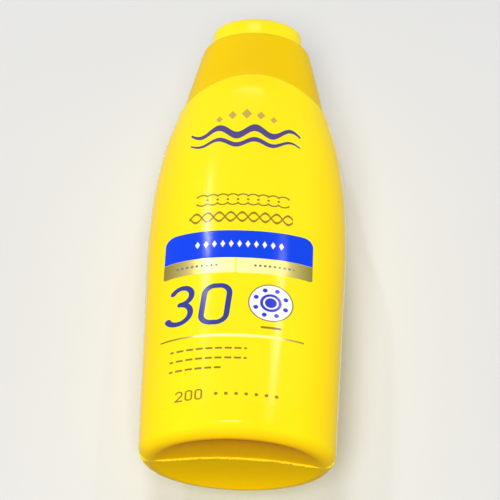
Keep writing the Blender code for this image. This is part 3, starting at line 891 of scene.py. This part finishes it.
def moulded_yellow(
    name, colour, deep, side_shade_colour, sheen, roughness, grain, wave,
    foot=YELLOW_BASE_SHADE, line_top=NO_MOULD_LINE,
):
    """Glossy or satin moulded plastic with a soft waviness, fine grain and faint rubs.

    The foot and the underside are deeper in colour as painted shade, the front of the underside's
    dome darker still as painted shade, and the underside is rougher. A painted highlight lightens
    the pinch-off seam's line, painted shade deepens the narrow sides, and the mould's
    line runs up the narrow sides to the height line_top, in mm.
    """
    material, shader, place = new_material(name)
    x, y, z = split(place)
    ground, clouds = cloudy_yellow(place, x, colour, deep, side_shade_colour)
    inside_ring = 1.04 - x * x / INSIDE_RING_X**2 - y * y / INSIDE_RING_Y**2
    underside = (inside_ring * 8.0).clamped() * (UNDERSIDE_TOP - z).clamped()
    # Painted shade: the foot and the underside take the deeper foot colour
    ground = ((BASE_SHADE_TOP - z) / 2.7).clamped().most(underside).shade(ground, foot)
    # Painted shade: the front half of the pushed-up dome darkens to orange-brown, broken by
    # speckle, fading towards the back
    speckle = (noise(place, SPECKS, 3, 0.7) - 0.5) * 0.6
    dome_front_shade = ((2.0 - y) / 13.0 + speckle).clamped() * underside
    ground = dome_front_shade.shade(ground, YELLOW_DOME_SHADE)
    # Painted highlight: a lighter ragged line along the pinch-off seam across the base
    ragged = (noise(place, RAGGED, 3) - 0.5) * 0.5
    seam = ink(abs(y + ragged) - SEAM_HIGHLIGHT_HALF, 0.06) * ink(z - SEAM_HIGHLIGHT_TOP, 0.6)
    seam = seam * ink(abs(x) - SEAM_HIGHLIGHT_REACH, 0.4)
    feed(shader, "Base Color", (seam * 0.8).shade(ground, SEAM_HIGHLIGHT_YELLOW))
    rubs = (noise(place, RUBS, 3, 0.6) - 0.5) * 0.10 + (clouds - 0.5) * 0.06
    feed(shader, "Roughness", roughness + rubs + underside * 0.40)
    shader.inputs["Specular IOR Level"].default_value = sheen
    mould_line = ink(abs(y) - 0.10, 0.08) * ink(12.0 - abs(x), 0.5) * ink(z - line_top, 1.0)
    waves = bump(noise(place, WAVES, 1), wave)
    lines = bump(mould_line, MOULD_LINE_DEPTH, waves)
    peel = bump(noise(place, PEEL, 3, 0.6) * underside, PEEL_DEPTH, lines)
    feed(shader, "Normal", bump(noise(place, GRAIN, 2), grain, peel))
    return material


def label_film(name, print_layers):
    """Glossy printed film. Print_layers gives each layer's gap, colour and whether it is foil."""
    material, shader, place = new_material(name)
    x, _, z = split(place)
    # The film's yellow takes the same painted shade along the narrow sides
    colour, clouds = cloudy_yellow(place, x, YELLOW, YELLOW_DEEP, YELLOW_SIDE_SHADE)
    foil_share = None
    for gap, tone, foil in print_layers(x, z):
        mask = ink(gap)
        colour = mask.shade(colour, tone)
        if foil:
            foil_share = mask if foil_share is None else foil_share.most(mask)
        elif foil_share is not None:
            foil_share = foil_share * (1 - mask)
    rubs = (noise(place, RUBS, 3, 0.6) - 0.5) * 0.08 + (clouds - 0.5) * 0.04
    feed(shader, "Base Color", colour)
    feed(shader, "Metallic", foil_share * 0.55)
    feed(shader, "Roughness", 0.15 + rubs + foil_share * 0.15)
    shader.inputs["Specular IOR Level"].default_value = FILM_SHEEN
    waves = bump(noise(place, WAVES, 1), FILM_WAVE)
    feed(shader, "Normal", bump(noise(place, GRAIN, 2), FILM_GRAIN, waves))
    return material


def painted_gold_gleam(x, middle, reach):
    """The gold foil's painted reflection: 1 round its middle and 0 at both ends."""
    share = (1.0 - abs(x - middle) / reach).clamped()
    return (share * 1.5).clamped()


# The front print's layout in mm, x from the bottle's middle and z from its base

WAVE_MIDDLE, WAVE_LENGTH, WAVE_REACH = -2.0, 11.6, 17.6
WAVE_ROWS = ((116.2, 2.3, 1.7), (111.6, 1.5, 1.2))
STONES = ((0.0, 124.0, 1.7, 2.2), (4.6, 123.4, 1.4, 1.8), (8.8, 121.8, 1.1, 1.4))
CHAIN_MIDDLE, CHAIN_HEIGHT, CHAIN_STEP = -1.8, 87.3, 3.2
BRAID_MIDDLE, BRAID_HEIGHT, BRAID_LENGTH, BRAID_SWING = -2.1, 80.2, 7.2, 1.75
BAND_LEFT, BAND_RIGHT = -25.2, 20.7
BAND_LOW, BAND_TOP, FOIL_LOW, FOIL_TOP = 64.2, 74.7, 58.5, 64.1
FOIL_SPLIT = -3.0
SEAL_X, SEAL_Z = 8.2, 47.7
SEAL_DISCS = ((6.9, SEAL_EDGE), (6.55, WHITE), (3.3, SEAL_BLUE))
SEAL_DOTS, SEAL_DOT_SIZE = 4.9, 0.75
RULE_HEIGHT = 35.1
DASH_START, DASH_STEP = -21.4, 2.9
DASH_ROWS = ((30.4, 1.6), (26.9, 1.6), (23.4, -6.0))


def front_print(x, z):
    """Bands, plain ornaments and plain numbers of the front label, the lowest layer first."""
    # Two waves under a row of lozenges
    off = abs(x - WAVE_MIDDLE)
    for height, thick, swing in WAVE_ROWS:
        wave = ((x - WAVE_MIDDLE) * (2 * math.pi / WAVE_LENGTH)).sine() * swing
        fade = (1.35 - off / 17.5).clamped()
        gap = abs(z - height - wave) * 0.75 - fade * thick / 2
        yield gap.most(off - WAVE_REACH), NAVY, False
    stones = [lozenge(off, z, (out, height), *halves) for out, height, *halves in STONES]
    yield join(stones), DULL_GOLD, False
    # A chain with dots, and a braid under it
    links = distance((x + 14.6).repeated(CHAIN_STEP), z - CHAIN_HEIGHT)
    yield (abs(links - 2.15) - 0.27).most(abs(x - CHAIN_MIDDLE) - 14.6), TEXT_BROWN, False
    dots = distance((x + 13.0).repeated(CHAIN_STEP), z - CHAIN_HEIGHT)
    yield (dots - 0.42).most(abs(x - CHAIN_MIDDLE) - 14.0), TEXT_BROWN, False
    swing = (x * (2 * math.pi / BRAID_LENGTH)).sine() * BRAID_SWING
    strands = abs(z - BRAID_HEIGHT - swing).least(abs(z - BRAID_HEIGHT + swing))
    yield (strands * 0.62 - 0.28).most(abs(x - BRAID_MIDDLE) - 16.2), TEXT_BROWN, False
    # Blue band with a row of white lozenges
    band = plate(x, z, BAND_LEFT, BAND_LOW - 4.2, BAND_RIGHT, BAND_TOP, 3.0)
    yield band.most(BAND_LOW - z), BAND_BLUE, False
    beads = lozenge((x + 2.2).repeated(2.6), z, (0, 69.5), 0.75, 1.35)
    yield beads.most(abs(x + 2.2) - 14.2), WHITE, False
    # Foil band in two halves, each with a row of dots, its colour a painted reflection light in
    # the middle and dark at the ends
    foil = plate(x, z, BAND_LEFT, FOIL_LOW, BAND_RIGHT, FOIL_TOP + 3.9, 0.9)
    foil = foil.most(z - FOIL_TOP).most(0.22 - abs(x - FOIL_SPLIT))
    yield foil, painted_gold_gleam(x, -2.0, 22.5).shade(FOIL_DARK, FOIL_LIGHT), True
    specks = distance((x - FOIL_SPLIT).repeated(1.5), z - 61.4) - 0.42
    halves = (abs(x + 14.6) - 6.6).least(abs(x - 8.4) - 6.6)
    yield specks.most(halves), SPECK_GREY, False
    # Plain number 30, leaning a little
    lean = x - (z - 47.0) * 0.085
    yield join([
        digit_three(lean, z, -23.9, 39.7, 15.0, 8.9, 1.75),
        digit_nought(lean, z, -13.3, 39.0, 15.4, 9.4, 1.75),
    ]), NUMBER_BLUE, False
    # Round seal with a ring of eight dots, and a short line under it
    off_x, off_z = x - SEAL_X, z - SEAL_Z
    seal = distance(off_x, off_z)
    for radius, colour in SEAL_DISCS:
        yield seal - radius, colour, False
    yield abs(seal - 2.1) - 0.28, WHITE, False
    far, near = SEAL_DOTS * math.cos(math.pi / 8), SEAL_DOTS * math.sin(math.pi / 8)
    dots = distance(abs(off_x) - far, abs(off_z) - near)
    dots = dots.least(distance(abs(off_x) - near, abs(off_z) - far))
    yield dots - SEAL_DOT_SIZE, SEAL_BLUE, False
    yield plate(x, z, 5.4, 38.1, 11.6, 38.9, 0.35), TEXT_BROWN, False
    # Thin foil rule, its colour a painted reflection, widest where that is brightest
    gleam = painted_gold_gleam(x, -1.0, 21.0)
    rule = (abs(z - RULE_HEIGHT) - 0.28 - gleam * 0.18).most(abs(x + 3.0) - 21.6)
    yield rule, gleam.shade(RULE_DARK, FOIL_LIGHT), True
    # Three dashed rules
    for height, right in DASH_ROWS:
        dashes = abs((x - DASH_START).repeated(DASH_STEP)) - 1.05
        ends = (x - right).most(DASH_START - x)
        yield dashes.most(abs(z - height) - 0.36).most(ends), TEXT_BROWN, False
    # Plain number 200 and a row of dots
    yield join([
        digit_two(x, z, -19.2, 12.3, 3.7, 2.4, 0.5),
        digit_nought(x, z, -16.2, 12.3, 3.7, 2.3, 0.5),
        digit_nought(x, z, -13.3, 12.3, 3.7, 2.3, 0.5),
    ]), TEXT_BROWN, False
    spots = distance((x + 1.0).repeated(3.0), z - 14.1) - 0.55
    yield spots.most(abs(x - 1.9) - 10.6), TEXT_BROWN, False


def back_print(x, z):
    """A blue band, a foil stripe, plain rules and an empty frame on the back label."""
    yield plate(x, z, -20.0, 108.0, 20.0, 118.0, 3.0), BAND_BLUE, False
    # The back's foil stripe carries the same painted reflection
    foil = painted_gold_gleam(x, 0.0, 20.0).shade(FOIL_DARK, FOIL_LIGHT)
    yield plate(x, z, -20.0, 104.0, 20.0, 106.4, 0.8), foil, True
    rules = abs((z - 50.0).repeated(3.0)) - 0.32
    yield rules.most(plate(x, z, -19.0, 52.0, 19.0, 100.0, 0.5)), TEXT_BROWN, False
    yield abs(plate(x, z, -19.0, 20.0, 19.0, 44.0, 1.5)) - 0.25, NAVY, False


# Studio

PALE = (0.72, 0.72, 0.71, 1)
PALE_MOTTLE = (0.7488, 0.7488, 0.7384, 1)
PALE_ROUGHNESS = 0.85
PALE_SHEEN = 0.1
ROOM_SEEN = (0.86, 0.86, 0.85, 1)
ROOM_LIGHT = (1.0, 0.99, 0.97, 1)
ROOM_LEVEL = 0.15
STAGE_SIZE = 3.0
FLOOR_HEIGHT = -0.0002
BACKDROP_Y = 0.0340
LAMP_DISTANCE = 2.6
LAMP_AIM = Vector((0, 0, 0.08))
CAMERA_AIM = Vector((0.000895, 0, 0.081836))
CAMERA_AZIMUTH, CAMERA_ELEVATION, CAMERA_ROLL = 0.673, -38.787, 2.749
CAMERA_DISTANCE = 0.7333
CAMERA_LENS = 165.6


def plain_pale(name):
    """A pale surface that the camera sees from its front only, and that shades nothing itself."""
    material, shader, place = new_material(name)
    feed(shader, "Base Color", noise(place, 7, 3).shade(PALE, PALE_MOTTLE))
    shader.inputs["Roughness"].default_value = PALE_ROUGHNESS
    shader.inputs["Specular IOR Level"].default_value = PALE_SHEEN
    behind = place.node("ShaderNodeNewGeometry", output="Backfacing")
    seen = place.node("ShaderNodeLightPath", output="Is Camera Ray")
    clear = place.node("ShaderNodeBsdfTransparent")
    pale = Value(place.tree, shader.outputs[0])
    surface = place.node("ShaderNodeMixShader", {0: (1 - seen).most(behind), 1: pale, 2: clear})
    feed(place.tree.nodes["Material Output"], "Surface", surface)
    return material


def add_stage_plane(name, middle, normal, material):
    work = bmesh.new()
    bmesh.ops.create_grid(work, x_segments=1, y_segments=1, size=STAGE_SIZE / 2)
    turn = Vector((0, 0, 1)).rotation_difference(Vector(normal)).to_matrix().to_4x4()
    bmesh.ops.transform(work, matrix=Matrix.Translation(middle) @ turn, verts=work.verts)
    data = bpy.data.meshes.new(name)
    work.to_mesh(data)
    work.free()
    data.materials.append(material)
    placed(name, data)


def direction(azimuth, elevation):
    """Away from the bottle, in degrees: azimuth 0 is out of its front and 90 out of its right."""
    turn, rise = math.radians(azimuth), math.radians(elevation)
    level = math.cos(rise)
    return Vector((math.sin(turn) * level, -math.cos(turn) * level, math.sin(rise)))


def add_lamp(name, azimuth, elevation, width, height, level, mirrored=True, lean=0):
    """A soft lamp aimed at the bottle. Level 1 shows a white surface that faces it as white.

    Where mirrored is false, the gloss doesn't show the lamp itself. Lean turns the top leftwards.
    """
    lamp = bpy.data.lights.new(name, "AREA")
    lamp.shape = "RECTANGLE"
    lamp.size = width
    lamp.size_y = height
    lamp.energy = level * math.pi**2 * LAMP_DISTANCE**2
    stand = placed(name, lamp)
    towards = direction(azimuth, elevation)
    stand.location = LAMP_AIM + towards * LAMP_DISTANCE
    upright = (-towards).to_track_quat("-Z", "Y")
    stand.rotation_euler = (upright @ Quaternion((0, 0, 1), math.radians(lean))).to_euler()
    stand.visible_glossy = mirrored


def add_world():
    """Dim light from all round, and a pale room for the camera and the gloss."""
    world = bpy.data.worlds.new("pale_room")
    bpy.context.scene.world = world
    world.use_nodes = True
    start = Value(world.node_tree)
    light = start.node("ShaderNodeBackground", {"Color": ROOM_LIGHT, "Strength": ROOM_LEVEL})
    seen = start.node("ShaderNodeBackground", {"Color": ROOM_SEEN, "Strength": 1.0})
    camera, glossy, through = (
        start.node("ShaderNodeLightPath", output=f"Is {kind} Ray")
        for kind in ("Camera", "Glossy", "Transmission")
    )
    looks = camera.most(glossy).most(through)
    surface = start.node("ShaderNodeMixShader", {0: looks, 1: light, 2: seen})
    feed(world.node_tree.nodes["World Output"], "Surface", surface)


def add_camera():
    """Looks at the front from well below the base, as the photograph does."""
    back = direction(CAMERA_AZIMUTH, CAMERA_ELEVATION)
    roll = math.radians(CAMERA_ROLL)
    level = (-back).cross(Vector((0, 0, 1))).normalized()
    upright = level.cross(-back)
    right = level * math.cos(roll) + upright * math.sin(roll)
    up = upright * math.cos(roll) - level * math.sin(roll)
    camera = bpy.data.cameras.new("camera")
    camera.sensor_width = 36.0
    camera.lens = CAMERA_LENS
    camera.clip_start = 0.01
    stand = placed("camera", camera)
    turn = Matrix((right, up, back)).transposed().to_4x4()
    stand.matrix_world = Matrix.Translation(CAMERA_AIM + back * CAMERA_DISTANCE) @ turn
    bpy.context.scene.camera = stand


def dress(piece, body, slot, material, *nodes):
    """Gives a piece its material and body, and hides the solids that it stands for. Its slot is
    not used.
    """
    piece.data.materials.clear()
    piece.data.materials.append(material)
    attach(piece, body)
    if nodes:
        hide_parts(*nodes)


bottle_plastic = moulded_yellow(
    "glossy_bottle_plastic", YELLOW, YELLOW_DEEP, YELLOW_SIDE_SHADE, BOTTLE_SHEEN,
    roughness=0.15, grain=0.000005, wave=0.00006, line_top=132.0,
)
# The seam's plastic is a lighter copy of the yellow, a painted highlight
seam_highlight_plastic = moulded_yellow(
    "pinched_seam_plastic", SEAM_HIGHLIGHT_YELLOW, YELLOW, YELLOW, BOTTLE_SHEEN,
    roughness=0.34, grain=0.000012, wave=0.00004, foot=SEAM_HIGHLIGHT_YELLOW,
)
# The closure's deep tone also serves as its painted side shade
closure_plastic = moulded_yellow(
    "satin_closure_plastic", CLOSURE_YELLOW, CLOSURE_DEEP, CLOSURE_DEEP, CLOSURE_SHEEN,
    roughness=0.40, grain=0.000014, wave=0.00004,
)
# The lid's sides take the closure's yellow as painted shade
lid_plastic = moulded_yellow(
    "glossy_lid_plastic", YELLOW, YELLOW_DEEP, CLOSURE_YELLOW, LID_SHEEN,
    roughness=0.19, grain=0.000007, wave=0.00005,
)
front_film = label_film("front_label_print", front_print)
back_film = label_film("back_label_print", back_print)

dress(make_bottle(), "container", "bottle", bottle_plastic, "bottle")
dress(make_base_seam(), "container", "bottle", seam_highlight_plastic)
closure_nodes = ("closure_base", "spout_nozzle", "spout_tube")
dress(make_closure(), "container", "closure", closure_plastic, *closure_nodes)
dress(make_lid(), "lid", "lid", lid_plastic, "flip_lid")
front = make_label("front_label_film", -1, FRONT_LABEL_SHIFT)
dress(front, "container", "front_label", front_film, "front_label")
back = make_label("back_label_film", 1, 0.0)
dress(back, "container", "back_label", back_film, "back_label")
hinge_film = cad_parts["hinge_film"]
hinge_film.data.materials.clear()
hinge_film.data.materials.append(closure_plastic)

floor_material = plain_pale("pale_floor")
add_stage_plane("floor", (0, 0, FLOOR_HEIGHT), (0, 0, 1), floor_material)
add_stage_plane("backdrop", (0, BACKDROP_Y, 0.08), (0, -1, 0), floor_material)
add_lamp("front_softbox", -4, -38, 1.1, 0.9, 0.76, mirrored=False)
add_lamp("wide_strip", -6, 20, 0.46, 0.062, 0.22)
add_lamp("left_softbox", -88, 8, 1.1, 1.7, 0.42, mirrored=False)
add_lamp("right_softbox", 88, 8, 1.1, 1.7, 0.38, mirrored=False)
add_lamp("back_softbox", 180, 30, 1.8, 1.8, 0.60, mirrored=False)
add_lamp("left_strip", -25, 36.8, 0.07, 0.27, 0.105, lean=32)
add_lamp("right_strip", 19.8, 32.3, 0.075, 0.05, 0.037)
add_lamp("top_strip", -6, 53, 0.58, 0.04, 0.06)
add_world()
add_camera()
bpy.context.scene.view_settings.view_transform = "Standard"
